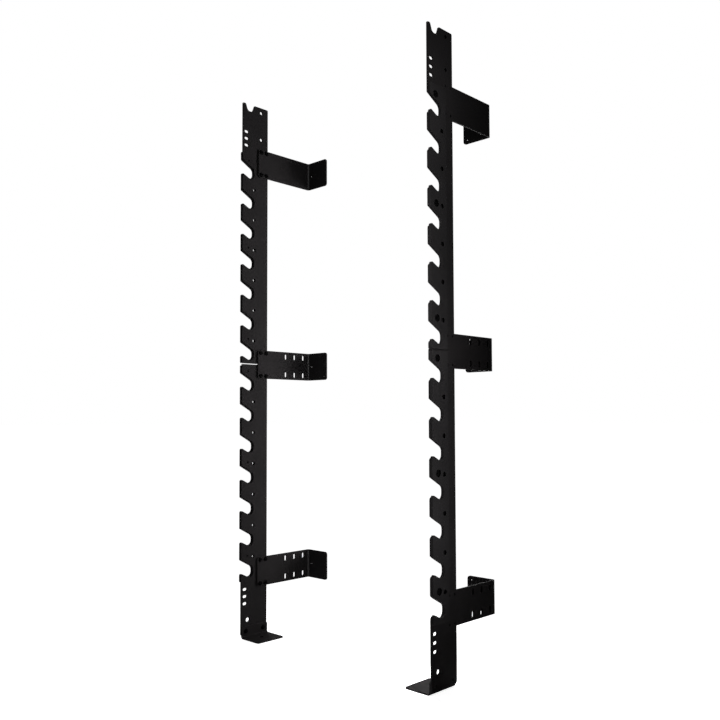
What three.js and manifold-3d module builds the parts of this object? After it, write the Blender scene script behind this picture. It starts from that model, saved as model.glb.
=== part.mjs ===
// Wall-mounted barbell storage rack: a left and a right upright that stand apart on the floor and are
// screwed to the wall. Each upright is two toothed steel hook plates, one above the other, faced on
// the outside with two toothed plastic liners. Three angle brackets on the inside hold the plates off
// the wall, and an angle foot carries them on the floor. A bar lies in the hooks of both uprights.
// Lengths are millimetres, +Z is up, the wall is at the largest Y and the hooks open towards -Y.
// The origin is on the floor, below the middle of the rack.

import * as THREE from 'three';
import { mergeVertices } from 'three/addons/utils/BufferGeometryUtils.js';
import Module from 'manifold-3d';

const wasm = await Module();
wasm.setup();

// Rack
const rackWidth = 914;
const rackDepth = 334;
const hookPitch = 115;
const hooksPerPlate = 7;
const lowestSeatHeight = 217;
const topAboveFirstSeat = 286;
const jointBelowSeat = 13;
const jointGap = { left: 4, right: 1.5 };

// Hook plates
const plateThickness = 5;
const plateDepth = 120;
const plateCornerRadius = 4;
const jointCornerRadius = 4;
const plateHeelRadius = 10;

// Hook outline of the plates: a block of steel stands between each slot's mouth and the seat above it
const slotDepth = 56;
const blockHeight = 45.5;
const throatHeight = 38.7;
const throatRadius = 18;
const seatRadius = 19;
const lipAngle = 26.7;
const tipRadius = 8.5;
const mouthCornerRadius = 4;

// The liners' hook outline stands proud of the plates' one, so that a bar touches only the plastic
const linerProud = 3;
const linerTipRadius = 6;

// Cradle in the top edge
const cradleFront = 13.5;
const cradleWidth = 41.5;
const cradleWallLean = 10;
const cradleDrop = 29;
const cradleRadius = 13;
const cradleEdgeRadius = 3;

// Small holes in the hook plates
const hookHoleDiameter = 13;
const hookHoleBehindSlot = 2;
const hookHoleHeightShare = 0.55;
const slotRowInset = 17.5;
const slotRowPitch = 26;
const slotRowCount = 3;
const rowSlotLength = 18.5;
const rowSlotHeight = 11;
const topRowAboveSeat = 152;
const bottomRowBelowSeat = 67;
const backHoleDiameter = 12;
const backHoleInset = 32;
const backHoleBelowTop = 19.5;
const backHoleSpacing = 104.5;
const heelHoleDiameter = 16;
const heelHoleInset = 31;
const heelHoleHeight = 64;

// Plugs that close the right upright's back holes from the inside
const plugHeadDiameter = 16;
const plugHeadThickness = 1.6;
const plugBodyLength = 1.6;
const plugClearance = 0.2;

// Liners
const linerThickness = 8;
const linerBehindSlot = 20;
const linerAboveFirstSeat = 98;
const linerBelowLastSeat = 14;
const linerBackRadius = 5;
const upperLinerEndGap = 3;
const lowerLinerEndGap = 7;
const counterboreDiameter = 21;
const counterboreDepth = 4.5;
const linerScrewInset = 28;
const linerScrewBelowSeat = 35;
const jointLinerScrewDrop = 5;
const topLinerScrewBelowMouth = 2;
const upperLinerScrewHooks = [3, 6];
const lowerLinerScrewHooks = [10, 13];

// Wall brackets
const bracketThickness = 5;
const bracketHeight = 107;
const bracketLap = 48;
const bendInnerRadius = 5;
const bracketCornerRadius = 8;
const flangeWidth = 108;
const upperBracketAboveSeat = 68;
const lowerBracketAboveSeat = 16;
const bracketScrewEdge = 10;
const bracketScrewBackEdge = 9;
const bracketColumnSpacing = 25;
const plainArmHoleDiameter = 6;
const plainArmHoleReach = 62;
const armSlotWidth = 13;
const armSlotLength = 24;
const armSlotPitch = 45.5;
const armSlotBeforeWall = 33;
const armSlotEdge = 17;
const armSlotColumns = 3;
const flangeHoleDiameter = 8;
const flangeInnerHoleReach = 22;
const flangeOuterHoleEdge = 13;
const flangeOuterHoleEnd = 18;

// Feet
const footThickness = 5;
const footWidth = 100;
const footHeight = 43;
const footBendRadius = 6;
const footCornerRadius = 8;
const footHoleDiameter = 12;
const footHoleReach = 45;
const footScrewHeight = 26;
const footScrewInset = 20;

// Screws
const screwDiameter = 8;
const screwHeadDiameter = 14.5;
const screwHeadHeight = 4.4;
const screwCrownShare = 0.62;
const screwClearance = 0.5;
const threadClearance = 0.25;
const linerHeadRecess = 0.5;

// How far a facet may stand inside the round form that it follows
const facetError = 0.42;
const screwSides = 8;
const plugSides = 12;

// One overrun for every cut that goes right through
const cutOverrun = 10;

const steel = { color: 0x1b1b1c, roughness: 0.55, metalness: 0.35 };
const plastic = { color: 0x161616, roughness: 0.7, metalness: 0 };
const screwSteel = { color: 0x131314, roughness: 0.4, metalness: 0.7 };

const rad = THREE.MathUtils.degToRad;
const rack = new THREE.Group();

// Heights and places shared by everything that lines up
const hookCount = 2 * hooksPerPlate;
const frontY = -rackDepth / 2;
const wallY = rackDepth / 2;
const plateBackY = frontY + plateDepth;
const armFrontY = plateBackY - bracketLap;
const seatHeight = (hook) => lowestSeatHeight + (hookCount - hook) * hookPitch;
const firstSeat = seatHeight(1);
const lastSeat = seatHeight(hookCount);
const topHeight = firstSeat + topAboveFirstSeat;
const jointHeight = seatHeight(hooksPerPlate) - jointBelowSeat;
const mouthHeight = hookPitch - blockHeight;
const cradleBack = cradleFront + cradleWidth;
const hookHoleInset = slotDepth + hookHoleBehindSlot;
const hookHoleBelowSeat = (hookPitch - throatHeight) * hookHoleHeightShare;
const linerDepth = slotDepth + linerBehindSlot;
const linerOuterX = rackWidth / 2;
const plateOuterX = linerOuterX - linerThickness;
const plateInnerX = plateOuterX - plateThickness;
const armInnerX = plateInnerX - bracketThickness;
const tappedHoleDiameter = screwDiameter + 2 * threadClearance;
const clearanceHoleDiameter = screwDiameter + 2 * screwClearance;
const linerHeadHeight = counterboreDepth - linerHeadRecess;
const plateBottomHeight = footBendRadius + footThickness;
const bracketScrewReach = bracketHeight / 2 - bracketScrewEdge;
const bracketScrewColumns = [
  plateBackY - bracketScrewBackEdge,
  plateBackY - bracketScrewBackEdge - bracketColumnSpacing,
];
const footScrewPlaces = [frontY + footScrewInset, plateBackY - footScrewInset];
const backHoleHeights = [
  topHeight - backHoleBelowTop,
  topHeight - backHoleBelowTop - backHoleSpacing,
];

// The number of facets that follow a turn of this radius.
function facetCount(radius, turn) {
  return Math.max(2, Math.ceil(turn / (2 * Math.acos(1 - facetError / radius))));
}

// Returns the points of a closed outline from corners [u, v, radius], with each radius drawn as an arc.
function roundedOutline(corners) {
  const points = [];
  corners.forEach(([u, v, radius], i) => {
    const here = new THREE.Vector2(u, v);
    if (radius === 0) {
      points.push(here);
      return;
    }
    const before = corners[(i + corners.length - 1) % corners.length];
    const after = corners[(i + 1) % corners.length];
    const toBefore = new THREE.Vector2(before[0] - u, before[1] - v).normalize();
    const toAfter = new THREE.Vector2(after[0] - u, after[1] - v).normalize();
    const halfAngle = Math.acos(THREE.MathUtils.clamp(toBefore.dot(toAfter), -1, 1)) / 2;
    const bisector = toBefore.clone().add(toAfter).normalize();
    const centre = here.clone().addScaledVector(bisector, radius / Math.sin(halfAngle));
    const start = here.clone().addScaledVector(toBefore, radius / Math.tan(halfAngle)).sub(centre);
    const turn = Math.PI - 2 * halfAngle;
    const sign = Math.sign(toAfter.cross(toBefore));
    const steps = facetCount(radius, turn);
    for (let k = 0; k <= steps; k += 1) {
      const spoke = start.clone().rotateAround(new THREE.Vector2(), (sign * turn * k) / steps);
      points.push(centre.clone().add(spoke));
    }
  });
  return points;
}

function circleHole(u, v, diameter, sides = facetCount(diameter / 2, 2 * Math.PI)) {
  const circle = new THREE.Path().absarc(u, v, diameter / 2, 0, 2 * Math.PI, false);
  return new THREE.Path(circle.getSpacedPoints(sides).slice(0, -1));
}

// A hole has as many sides as the screw or plug in it, so that their facets run side by side.
function screwHole(u, v, diameter) {
  return circleHole(u, v, diameter, screwSides);
}

// An obround hole of this full length, lying along u or standing along v.
function obroundHole(u, v, length, width, standing) {
  const radius = width / 2;
  const reach = length / 2 - radius;
  const steps = facetCount(radius, Math.PI);
  const points = [];
  for (const end of [-1, 1]) {
    for (let k = 0; k <= steps; k += 1) {
      const angle = (Math.PI * k) / steps;
      const along = end * (reach + radius * Math.sin(angle));
      const across = end * radius * Math.cos(angle);
      const [du, dv] = standing ? [-across, along] : [along, across];
      points.push(new THREE.Vector2(u + du, v + dv));
    }
  }
  return new THREE.Path(points);
}

// Extrudes an outline, drawn across two axes, along the third one, from one place on it to another.
function extrudeAlong(axis, corners, holes, from, to) {
  const shape = new THREE.Shape(roundedOutline(corners));
  shape.holes = holes;
  const depth = Math.abs(to - from);
  const geometry = new THREE.ExtrudeGeometry(shape, { depth, bevelEnabled: false });
  const x = new THREE.Vector3(1, 0, 0);
  const y = new THREE.Vector3(0, 1, 0);
  const z = new THREE.Vector3(0, 0, 1);
  if (axis === 'x') {
    geometry.applyMatrix4(new THREE.Matrix4().makeBasis(y, z, x));
    geometry.translate(Math.min(from, to), 0, 0);
  } else if (axis === 'y') {
    geometry.applyMatrix4(new THREE.Matrix4().makeBasis(x, z, y.clone().negate()));
    geometry.translate(0, Math.max(from, to), 0);
  } else {
    geometry.translate(0, 0, Math.min(from, to));
  }
  return geometry;
}

function toSolid(geometry) {
  const bare = geometry.clone();
  bare.deleteAttribute('normal');
  bare.deleteAttribute('uv');
  const merged = mergeVertices(bare);
  return new wasm.Manifold(new wasm.Mesh({
    numProp: 3,
    vertProperties: merged.attributes.position.array,
    triVerts: new Uint32Array(merged.index.array),
  }));
}

function toGeometry(solid) {
  const mesh = solid.getMesh();
  const geometry = new THREE.BufferGeometry();
  geometry.setAttribute('position', new THREE.BufferAttribute(mesh.vertProperties, 3));
  geometry.setIndex(new THREE.BufferAttribute(mesh.triVerts, 1));
  geometry.computeVertexNormals();
  return geometry;
}

function addPiece(name, geometry, finish) {
  const piece = new THREE.Mesh(geometry, new THREE.MeshStandardMaterial(finish));
  piece.name = name;
  rack.add(piece);
  return piece;
}

// The four corners of one hook slot, from its mouth down to the tip of its lip. The bar's seat is the
// arc between the back of the slot and the lip. The whole slot is narrower by twice the proud amount.
function slotCorners(seat, proud, tip) {
  const lip = rad(lipAngle);
  const slant = (mouthHeight - throatHeight) / slotDepth;
  const back = slotDepth - proud;
  const radius = seatRadius - proud;
  const mouth = seat + mouthHeight - proud;
  const seatStart = back - radius - radius * Math.sin(lip);
  const lipHeight = (inset) => (
    seat + proud + radius * (1 - Math.cos(lip)) + (seatStart - inset) * Math.tan(lip)
  );
  return [
    [frontY, mouth, mouthCornerRadius],
    [frontY + back, mouth - back * slant, throatRadius],
    [frontY + back, lipHeight(back), radius],
    [frontY, lipHeight(0), tip],
  ];
}

function slotsOf(firstHook, proud, tip) {
  const corners = [];
  for (let hook = firstHook; hook < firstHook + hooksPerPlate; hook += 1) {
    corners.push(...slotCorners(seatHeight(hook), proud, tip));
  }
  return corners;
}

// A hook's own hole, in the block below its seat. The hook above the joint and the lowest one have none.
function hookHoles(firstHook) {
  const holes = [];
  for (let hook = firstHook; hook < firstHook + hooksPerPlate - 1; hook += 1) {
    holes.push([frontY + hookHoleInset, seatHeight(hook) - hookHoleBelowSeat]);
  }
  return holes;
}

// The first screw of a liner is beside the first mouth's corner, or in the block below the joint.
function linerScrewHeights(half) {
  const belowHook = (hook) => seatHeight(hook) - linerScrewBelowSeat;
  if (half === 'upper') {
    const topScrew = firstSeat + mouthHeight - topLinerScrewBelowMouth;
    return [topScrew, ...upperLinerScrewHooks.map(belowHook)];
  }
  const jointScrew = belowHook(hooksPerPlate) - jointLinerScrewDrop;
  return [jointScrew, ...lowerLinerScrewHooks.map(belowHook)];
}

function slotRow(middle) {
  const holes = [];
  for (let i = 0; i < slotRowCount; i += 1) {
    const height = middle + (i - (slotRowCount - 1) / 2) * slotRowPitch;
    holes.push(obroundHole(frontY + slotRowInset, height, rowSlotLength, rowSlotHeight, false));
  }
  return holes;
}

// Centre heights of the three wall brackets of an upright, by name.
const bracketHeights = {
  upper: firstSeat + upperBracketAboveSeat,
  middle: jointHeight,
  lower: lastSeat + lowerBracketAboveSeat,
};

// Rows of bracket screws that fall on one hook plate.
function bracketScrewRows(half) {
  const { upper, middle, lower } = bracketHeights;
  if (half === 'upper') {
    return [upper + bracketScrewReach, upper - bracketScrewReach, middle + bracketScrewReach];
  }
  return [middle - bracketScrewReach, lower + bracketScrewReach, lower - bracketScrewReach];
}

function tappedHoles(half) {
  const holes = [];
  for (const height of bracketScrewRows(half)) {
    for (const place of bracketScrewColumns) {
      holes.push(screwHole(place, height, tappedHoleDiameter));
    }
  }
  for (const height of linerScrewHeights(half)) {
    holes.push(screwHole(frontY + linerScrewInset, height, tappedHoleDiameter));
  }
  return holes;
}

function upperPlateOutline(side) {
  const bottom = jointHeight + jointGap[side] / 2;
  return [
    [plateBackY, topHeight, plateCornerRadius],
    [frontY + cradleBack, topHeight, cradleEdgeRadius],
    [frontY + cradleBack - cradleWallLean, topHeight - cradleDrop, cradleRadius],
    [frontY + cradleFront + cradleWallLean, topHeight - cradleDrop, cradleRadius],
    [frontY + cradleFront, topHeight, cradleEdgeRadius],
    [frontY, topHeight, cradleEdgeRadius],
    ...slotsOf(1, 0, tipRadius),
    [frontY, bottom, jointCornerRadius],
    [plateBackY, bottom, plateCornerRadius],
  ];
}

function lowerPlateOutline(side) {
  const top = jointHeight - jointGap[side] / 2;
  return [
    [plateBackY, top, plateCornerRadius],
    [frontY, top, jointCornerRadius],
    ...slotsOf(hooksPerPlate + 1, 0, tipRadius),
    [frontY, plateBottomHeight, plateCornerRadius],
    [plateBackY, plateBottomHeight, plateHeelRadius],
  ];
}

function addPlate(side, sign, half) {
  const upper = half === 'upper';
  const outline = upper ? upperPlateOutline(side) : lowerPlateOutline(side);
  const firstHook = upper ? 1 : hooksPerPlate + 1;
  const holes = tappedHoles(half);
  for (const [place, height] of hookHoles(firstHook)) {
    holes.push(circleHole(place, height, hookHoleDiameter));
  }
  if (upper) {
    holes.push(...slotRow(firstSeat + topRowAboveSeat));
    for (const height of backHoleHeights) {
      holes.push(circleHole(plateBackY - backHoleInset, height, backHoleDiameter, plugSides));
    }
  } else {
    holes.push(...slotRow(lastSeat - bottomRowBelowSeat));
    holes.push(circleHole(frontY + heelHoleInset, heelHoleHeight, heelHoleDiameter));
    for (const place of footScrewPlaces) {
      holes.push(screwHole(place, footScrewHeight, tappedHoleDiameter));
    }
  }
  const geometry = extrudeAlong('x', outline, holes, sign * plateInnerX, sign * plateOuterX);
  addPiece(`${side}_${half}_plate`, geometry, steel);
}

function addLiner(side, sign, half) {
  const upper = half === 'upper';
  const halfGap = jointGap[side] / 2;
  const firstHook = upper ? 1 : hooksPerPlate + 1;
  const top = upper ? firstSeat + linerAboveFirstSeat : jointHeight - halfGap - lowerLinerEndGap;
  const bottom = upper ? jointHeight + halfGap + upperLinerEndGap : lastSeat - linerBelowLastSeat;
  const outline = [
    [frontY + linerDepth, top, linerBackRadius],
    [frontY, top, jointCornerRadius],
    ...slotsOf(firstHook, linerProud, linerTipRadius),
    [frontY, bottom, jointCornerRadius],
    [frontY + linerDepth, bottom, linerBackRadius],
  ];
  const holes = [];
  for (const [place, height] of hookHoles(firstHook)) {
    holes.push(circleHole(place, height, hookHoleDiameter));
  }
  for (const height of linerScrewHeights(half)) {
    holes.push(screwHole(frontY + linerScrewInset, height, clearanceHoleDiameter));
  }
  let solid = toSolid(extrudeAlong('x', outline, holes, sign * plateOuterX, sign * linerOuterX));
  for (const height of linerScrewHeights(half)) {
    const bore = new THREE.CylinderGeometry(
      counterboreDiameter / 2,
      counterboreDiameter / 2,
      counterboreDepth + cutOverrun,
      facetCount(counterboreDiameter / 2, 2 * Math.PI),
    );
    bore.rotateZ(Math.PI / 2);
    const floor = linerOuterX - counterboreDepth;
    const middle = floor + (counterboreDepth + cutOverrun) / 2;
    bore.translate(sign * middle, frontY + linerScrewInset, height);
    solid = solid.subtract(toSolid(bore));
  }
  addPiece(`${side}_${half}_liner`, toGeometry(solid), plastic);
}

// A bracket or foot is a bent strip: the bend's profile, cut to its outline as seen on each leg.
function bentPiece(profile, across, along) {
  return toGeometry(toSolid(profile).intersect(toSolid(across)).intersect(toSolid(along)));
}

function armHoles(level, middle) {
  const holes = [];
  for (const place of bracketScrewColumns) {
    holes.push(screwHole(place, middle + bracketScrewReach, clearanceHoleDiameter));
    holes.push(screwHole(place, middle - bracketScrewReach, clearanceHoleDiameter));
  }
  if (level === 'upper') {
    holes.push(circleHole(plateBackY + plainArmHoleReach, middle, plainArmHoleDiameter));
    return holes;
  }
  for (let column = 0; column < armSlotColumns; column += 1) {
    const place = wallY - armSlotBeforeWall - column * armSlotPitch;
    for (const row of [-1, 1]) {
      const height = middle + row * (bracketHeight / 2 - armSlotEdge);
      holes.push(obroundHole(place, height, armSlotLength, armSlotWidth, true));
    }
  }
  return holes;
}

// flip is 1 when the flange's outer hole is in its upper corner and -1 when it is in its lower one.
function addBracket(side, sign, level, flip) {
  const middle = bracketHeights[level];
  const low = middle - bracketHeight / 2;
  const high = middle + bracketHeight / 2;
  const inward = (distance) => sign * (plateInnerX - distance);
  const profile = extrudeAlong('z', [
    [inward(0), armFrontY, 0],
    [inward(0), wallY, bendInnerRadius + bracketThickness],
    [inward(flangeWidth), wallY, 0],
    [inward(flangeWidth), wallY - bracketThickness, 0],
    [inward(bracketThickness), wallY - bracketThickness, bendInnerRadius],
    [inward(bracketThickness), armFrontY, 0],
  ], [], low, high);
  const arm = extrudeAlong('x', [
    [armFrontY, low, bracketCornerRadius],
    [wallY + cutOverrun, low, 0],
    [wallY + cutOverrun, high, 0],
    [armFrontY, high, bracketCornerRadius],
  ], armHoles(level, middle), inward(-cutOverrun), inward(flangeWidth + cutOverrun));
  const outerHole = middle + flip * (bracketHeight / 2 - flangeOuterHoleEdge);
  const flangeHoles = [
    circleHole(inward(flangeInnerHoleReach), middle, flangeHoleDiameter),
    circleHole(inward(flangeWidth - flangeOuterHoleEnd), outerHole, flangeHoleDiameter),
  ];
  const flange = extrudeAlong('y', [
    [inward(-cutOverrun), low, 0],
    [inward(flangeWidth), low, bracketCornerRadius],
    [inward(flangeWidth), high, bracketCornerRadius],
    [inward(-cutOverrun), high, 0],
  ], flangeHoles, armFrontY - cutOverrun, wallY + cutOverrun);
  addPiece(`${side}_${level}_bracket`, bentPiece(profile, arm, flange), steel);
}

function addFoot(side, sign) {
  const inward = (distance) => sign * (plateInnerX - distance);
  const profile = extrudeAlong('y', [
    [inward(0), footHeight, 0],
    [inward(0), 0, footBendRadius + footThickness],
    [inward(footWidth), 0, 0],
    [inward(footWidth), footThickness, 0],
    [inward(footThickness), footThickness, footBendRadius],
    [inward(footThickness), footHeight, 0],
  ], [], frontY, plateBackY);
  const screwHoles = footScrewPlaces.map((place) => (
    screwHole(place, footScrewHeight, clearanceHoleDiameter)
  ));
  const upright = extrudeAlong('x', [
    [frontY, -cutOverrun, 0],
    [plateBackY, -cutOverrun, 0],
    [plateBackY, footHeight, footCornerRadius],
    [frontY, footHeight, footCornerRadius],
  ], screwHoles, inward(-cutOverrun), inward(footWidth + cutOverrun));
  const middleY = (frontY + plateBackY) / 2;
  const sole = extrudeAlong('z', [
    [inward(-cutOverrun), frontY, 0],
    [inward(footWidth), frontY, footCornerRadius],
    [inward(footWidth), plateBackY, footCornerRadius],
    [inward(-cutOverrun), plateBackY, 0],
  ], [circleHole(inward(footHoleReach), middleY, footHoleDiameter)], -cutOverrun, footHeight + cutOverrun);
  addPiece(`${side}_foot`, bentPiece(profile, upright, sole), steel);
}

// A button-head screw with its head's underside on the plane x = 0, its head on +X and its shank on -X.
function screwGeometry(shankLength, headHeight) {
  const shank = screwDiameter / 2;
  const head = screwHeadDiameter / 2;
  const crown = head * screwCrownShare;
  const profile = [
    [0, -shankLength],
    [shank, -shankLength],
    [shank, 0],
    [head, 0],
    [crown, headHeight],
    [0, headHeight],
  ].map(([radius, height]) => new THREE.Vector2(radius, height));
  const geometry = new THREE.LatheGeometry(profile, screwSides);
  geometry.rotateZ(-Math.PI / 2);
  return geometry;
}

function addScrew(name, shankLength, headHeight, headSign, x, y, z) {
  const screw = addPiece(name, screwGeometry(shankLength, headHeight), screwSteel);
  if (headSign < 0) {
    screw.rotation.z = Math.PI;
  }
  screw.position.set(x, y, z);
}

function addBracketScrews(side, sign, level) {
  const shank = bracketThickness + plateThickness;
  let number = 1;
  for (const row of [1, -1]) {
    for (const place of bracketScrewColumns) {
      const name = `${side}_${level}_bracket_screw_${number}`;
      const height = bracketHeights[level] + row * bracketScrewReach;
      addScrew(name, shank, screwHeadHeight, -sign, sign * armInnerX, place, height);
      number += 1;
    }
  }
}

function addLinerScrews(side, sign, half) {
  const shank = linerThickness - counterboreDepth + plateThickness;
  const seat = linerOuterX - counterboreDepth;
  linerScrewHeights(half).forEach((height, i) => {
    const name = `${side}_${half}_liner_screw_${i + 1}`;
    addScrew(name, shank, linerHeadHeight, sign, sign * seat, frontY + linerScrewInset, height);
  });
}

function addFootScrews(side, sign) {
  const shank = footThickness + plateThickness;
  const seat = plateInnerX - footThickness;
  footScrewPlaces.forEach((place, i) => {
    const name = `${side}_foot_screw_${i + 1}`;
    addScrew(name, shank, screwHeadHeight, -sign, sign * seat, place, footScrewHeight);
  });
}

// A plug's head lies on the plate's inner face and its body stands in the hole.
function addPlugs(side, sign) {
  const body = backHoleDiameter / 2 - plugClearance;
  const profile = [
    [0, -plugHeadThickness],
    [plugHeadDiameter / 2, -plugHeadThickness],
    [plugHeadDiameter / 2, 0],
    [body, 0],
    [body, plugBodyLength],
    [0, plugBodyLength],
  ].map(([radius, height]) => new THREE.Vector2(radius, height));
  backHoleHeights.forEach((height, i) => {
    const geometry = new THREE.LatheGeometry(profile, plugSides);
    geometry.rotateZ(-Math.PI / 2);
    const plug = addPiece(`${side}_hole_plug_${i + 1}`, geometry, plastic);
    if (sign < 0) {
      plug.rotation.z = Math.PI;
    }
    plug.position.set(sign * plateInnerX, plateBackY - backHoleInset, height);
  });
}

// Which way up each bracket is fixed.
const bracketFlips = {
  left: { upper: 1, middle: -1, lower: -1 },
  right: { upper: -1, middle: 1, lower: 1 },
};

for (const [side, sign] of [['left', -1], ['right', 1]]) {
  for (const half of ['upper', 'lower']) {
    addPlate(side, sign, half);
    addLiner(side, sign, half);
    addLinerScrews(side, sign, half);
  }
  for (const level of ['upper', 'middle', 'lower']) {
    addBracket(side, sign, level, bracketFlips[side][level]);
    addBracketScrews(side, sign, level);
  }
  addFoot(side, sign);
  addFootScrews(side, sign);
}
addPlugs('right', 1);

export default rack;
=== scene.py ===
"""Builds a wall-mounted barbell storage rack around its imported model, with its materials and stage."""
import math

import bmesh
import bpy
from bpy.props import FloatProperty, FloatVectorProperty, PointerProperty
from bpy.types import Operator, Panel, PropertyGroup
from mathutils import Matrix, Vector


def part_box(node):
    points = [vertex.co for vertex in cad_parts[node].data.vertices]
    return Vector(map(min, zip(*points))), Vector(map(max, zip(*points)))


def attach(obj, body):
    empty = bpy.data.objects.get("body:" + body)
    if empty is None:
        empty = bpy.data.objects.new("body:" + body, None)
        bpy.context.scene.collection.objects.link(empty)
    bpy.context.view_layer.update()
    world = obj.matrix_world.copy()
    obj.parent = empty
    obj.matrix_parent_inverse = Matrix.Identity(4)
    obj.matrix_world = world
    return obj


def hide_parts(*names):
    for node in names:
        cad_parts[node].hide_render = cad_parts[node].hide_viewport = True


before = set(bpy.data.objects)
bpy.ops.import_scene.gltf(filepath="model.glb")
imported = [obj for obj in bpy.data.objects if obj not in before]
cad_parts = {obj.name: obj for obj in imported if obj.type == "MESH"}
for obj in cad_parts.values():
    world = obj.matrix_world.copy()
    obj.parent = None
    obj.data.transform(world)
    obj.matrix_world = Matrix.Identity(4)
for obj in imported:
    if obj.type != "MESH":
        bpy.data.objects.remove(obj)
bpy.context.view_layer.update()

bl_info = {
    "name": "Barbell Storage Rack",
    "version": (1, 0, 0),
    "blender": (4, 5, 0),
    "location": "View3D > Sidebar > Barbell Rack",
    "description": "Builds a wall-mounted barbell storage rack and its stage",
    "category": "Mesh",
}

# Names of the rack's parts, and the axes' places in a vector
SIDES = {"left": -1, "right": 1}
HALVES = ("upper", "lower")
LEVELS = ("upper", "middle", "lower")
HOOKS_PER_PLATE = 7
AXES = {"x": 0, "y": 1, "z": 2}

# How the shapes are made, in metres and radians
OVERRUN = 0.01
SAME_PLACE = 1e-6
NEAR_CORNER = 1e-5
LEAST_EDGE = 1e-4
ROUND_SIDES = 40
CORNER_STEP = 0.021
LEAST_CORNER_SEGMENTS = 3
SHEET_CORNER_SEGMENTS = 8
ROUND_END_SHARE = 0.49
SHARP_ANGLE = math.radians(40)

# Sizes of the plates and liners, in metres
LINER_BELOW_LAST_SEAT = 0.014
JOINT_REACH = {"left": {"plate": 0.0005, "liner": 0.0025},
               "right": {"plate": 0.00071, "liner": 0.0025}}
PLATE_CORNER = 0.004
HEEL_CORNER = 0.010
LINER_BACK_CORNER = 0.005
CRADLE = {"front": 0.0135, "width": 0.0415, "lean": 0.010, "drop": 0.0265, "radius": 0.013,
          "edge": 0.0042}
THROAT_RADIUS = 0.018
HOOK_HOLE = {"radius": {"plate": 0.006, "liner": 0.0072},
             "below_seat": {"plate": 0.040, "liner": 0.0395}}
ROW_SLOT = {"inset": 0.0175, "pitch": 0.026, "length": 0.0185, "height": 0.011, "count": 3,
            "above_first_seat": 0.152, "below_last_seat": 0.067}
BACK_HOLE = {"radius": 0.006, "inset": 0.032, "below_top": 0.0195, "spacing": 0.1045}
HEEL_HOLE = {"radius": 0.008, "inset": 0.031, "height": 0.064}
COUNTERBORE = {"radius": 0.0114, "depth": 0.0045}
THREAD_RADIUS = 0.00425
CLEARANCE_RADIUS = 0.0045

# Sizes of the brackets and feet, in metres
BRACKET = {"bend": 0.005, "corner": 0.0095, "plain_hole": 0.0014, "plain_reach": 0.062,
           "slot_width": 0.0098, "slot_length": 0.0202, "slot_pitch": 0.0452,
           "slot_before_wall": 0.0335, "slot_edge": 0.019, "slot_columns": 3,
           "inner_hole": 0.0032, "inner_reach": 0.022,
           "outer_hole": 0.0027, "outer_edge": 0.013, "outer_end": 0.0155}
# 1 where the flange's outer hole is above its middle, -1 where it is below
OUTER_HOLE_SIDE = {"left": {"upper": 1, "middle": -1, "lower": -1},
                   "right": {"upper": -1, "middle": 1, "lower": 1}}
FOOT = {"bend": 0.006, "corner": 0.008, "hole": 0.008, "hole_reach": 0.045}

# Sizes of the screws and plugs, in metres, with shares of the shank, the head and its height
SCREW = {"shank": 0.004, "shank_play": 0.0006, "point_share": 0.8, "point_length_share": 0.2,
         "rim_share": 0.12, "top_share": 0.42, "dome_angle": math.radians(62), "dome_steps": 6,
         "socket": 0.0029, "socket_sides": 6, "socket_share": 1.4, "edge": 0.00018}
SCREW_HEADS = {"liner": {"radius": 0.0098, "height": 0.0022, "box_height": 0.004},
               "bracket": {"radius": 0.0084, "height": 0.0044, "box_height": 0.0044}}
PLUG = {"head": 0.008, "head_height": 0.0016, "rim_share": 0.86, "rim": 0.0006, "body": 0.0058,
        "body_length": 0.0016, "end": 0.0005, "end_share": 0.92, "wall": 0.0012, "hollow": 0.001,
        "edge": 0.00015}

# Material slots, and the kind of finish in each: its ending, gloss, smoothing and painted shade, a
# factor on the colour
FACE, EDGE, SHADED_CUT, BEND = range(4)
FINISH_KINDS = {
    "": {"gloss": 0.006, "smoothing": 0, "shading": 1},
    "_edge": {"gloss": 0.07, "smoothing": 0.1, "shading": 1},
    # Cut walls of holes, slots and sockets: colour darkened to 0.08 with no gloss, as painted shade
    "_bore": {"gloss": 0, "smoothing": 0, "shading": 0.08},
    "_bend": {"gloss": 0.25, "smoothing": 0.1, "shading": 1},
}
RAMP_START, RAMP_END = 0.3, 0.7
NOISE_LOW, NOISE_HIGH = 0.25, 0.75

# The stage, in metres, watts and degrees
FLOOR = {"size": 400, "near": 1.5, "far": 4, "near_glow": 0.96, "far_glow": 1.0}
AMBIENT = 0.034
CAMERA = {"place": (1.944362, -2.015828, 0.804369), "azimuth": 43.996, "elevation": 2.766,
          "roll": -0.153, "sensor": 36, "lens": 40.3065, "shift": (0.00155, 0.02689),
          "clip_end": 100}
# Name, place, target, width, height, power and spread
LAMPS = (
    ("left_strip", (0.22, 0.9, 1.1), (-0.45, 0.0, 1.1), 0.4, 1.8, 14.5, 100),
    ("right_strip", (-0.22, 0.9, 1.1), (0.45, 0.0, 1.1), 0.4, 1.8, 11, 100),
    ("outer_strip", (-1.1, 0.3, 1.0), (-0.457, -0.1, 1.0), 0.2, 1.7, 4, 90),
    ("side_strip_high", (1.0, -0.45, 1.5), (0.457, -0.17, 1.5), 0.1, 1.0, 0.72, 46),
    ("side_strip_low", (1.0, -0.45, 0.68), (0.457, -0.17, 0.68), 0.1, 0.8, 0.78, 46),
    ("front_strip", (0.46, -0.6, 1.25), (0.457, -0.17, 1.25), 0.08, 0.7, 0.35, 60),
    ("foot_lamp", (-0.5, 0.3, 1.6), (0.41, -0.1, 0.0), 0.2, 0.2, 0.7, 20),
    ("top_lamp", (-0.5, 1.1, 4.3), (0, 0.2, 0), 2, 2, 15, 180),
)


# Sizes and finishes that a user would change

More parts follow.
